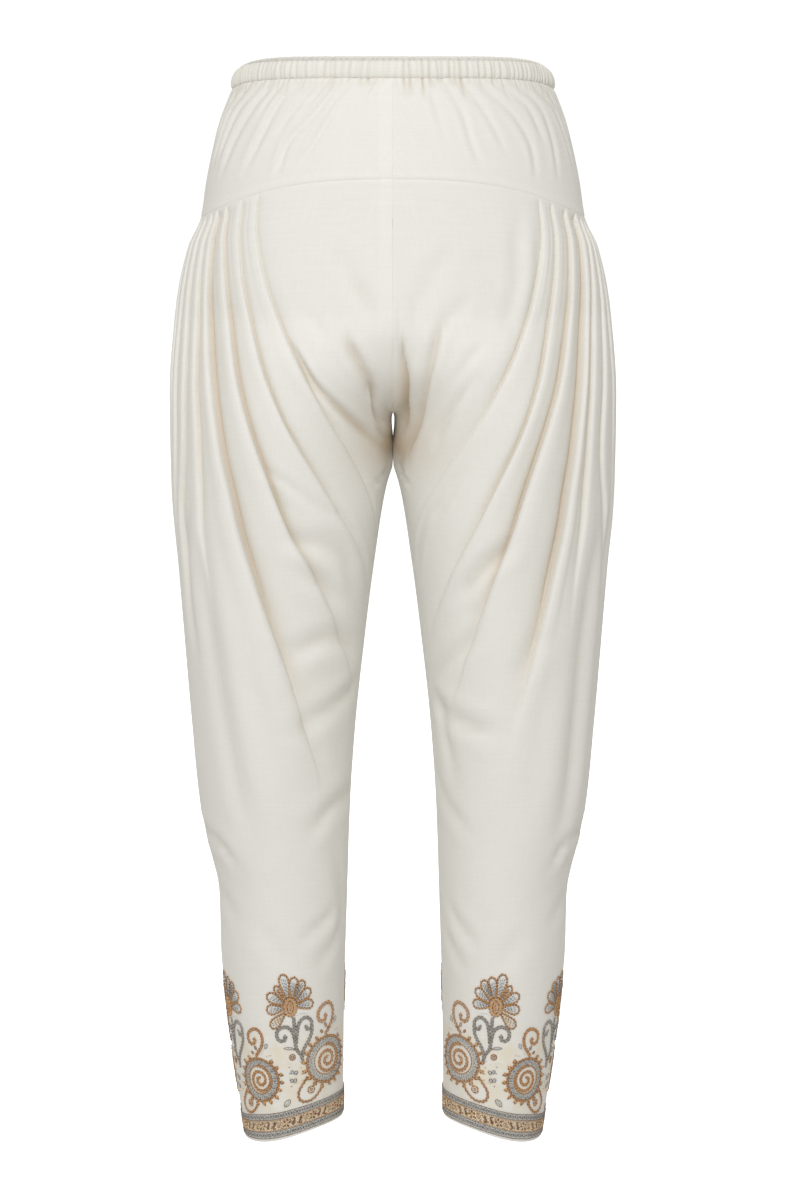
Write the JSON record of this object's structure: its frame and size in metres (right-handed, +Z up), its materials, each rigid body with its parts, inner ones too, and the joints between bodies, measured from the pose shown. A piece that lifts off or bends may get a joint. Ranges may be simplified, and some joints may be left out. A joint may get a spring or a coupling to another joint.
{
  "type": "churidar trousers",
  "caption": "Empty ivory churidar trousers held in their worn shape: elastic waistband, gathered hip yoke, side-pleated thighs, tapered legs and embroidered hems.",
  "frame": {"origin": "middle of the waist opening, level with the waistband's top front edge", "axes": "+Z up out of the waist opening, front of the garment faces -Y, +X is the wearer's left"},
  "size_m": [0.402, 0.2588, 0.9851],
  "materials": {
    "waistband_cotton": "matt plain-woven ivory cotton, finely ruched",
    "ivory_cotton": "matt plain-woven ivory cotton"
  },
  "bodies": {
    "root": {"waistband": "waistband_cotton", "yoke_front_right": "ivory_cotton", "yoke_front_left": "ivory_cotton", "yoke_back_right": "ivory_cotton", "yoke_back_left": "ivory_cotton", "leg_front_right": "ivory_cotton", "leg_front_left": "ivory_cotton", "leg_back_right": "ivory_cotton", "leg_back_left": "ivory_cotton"}
  },
  "joints": []
}
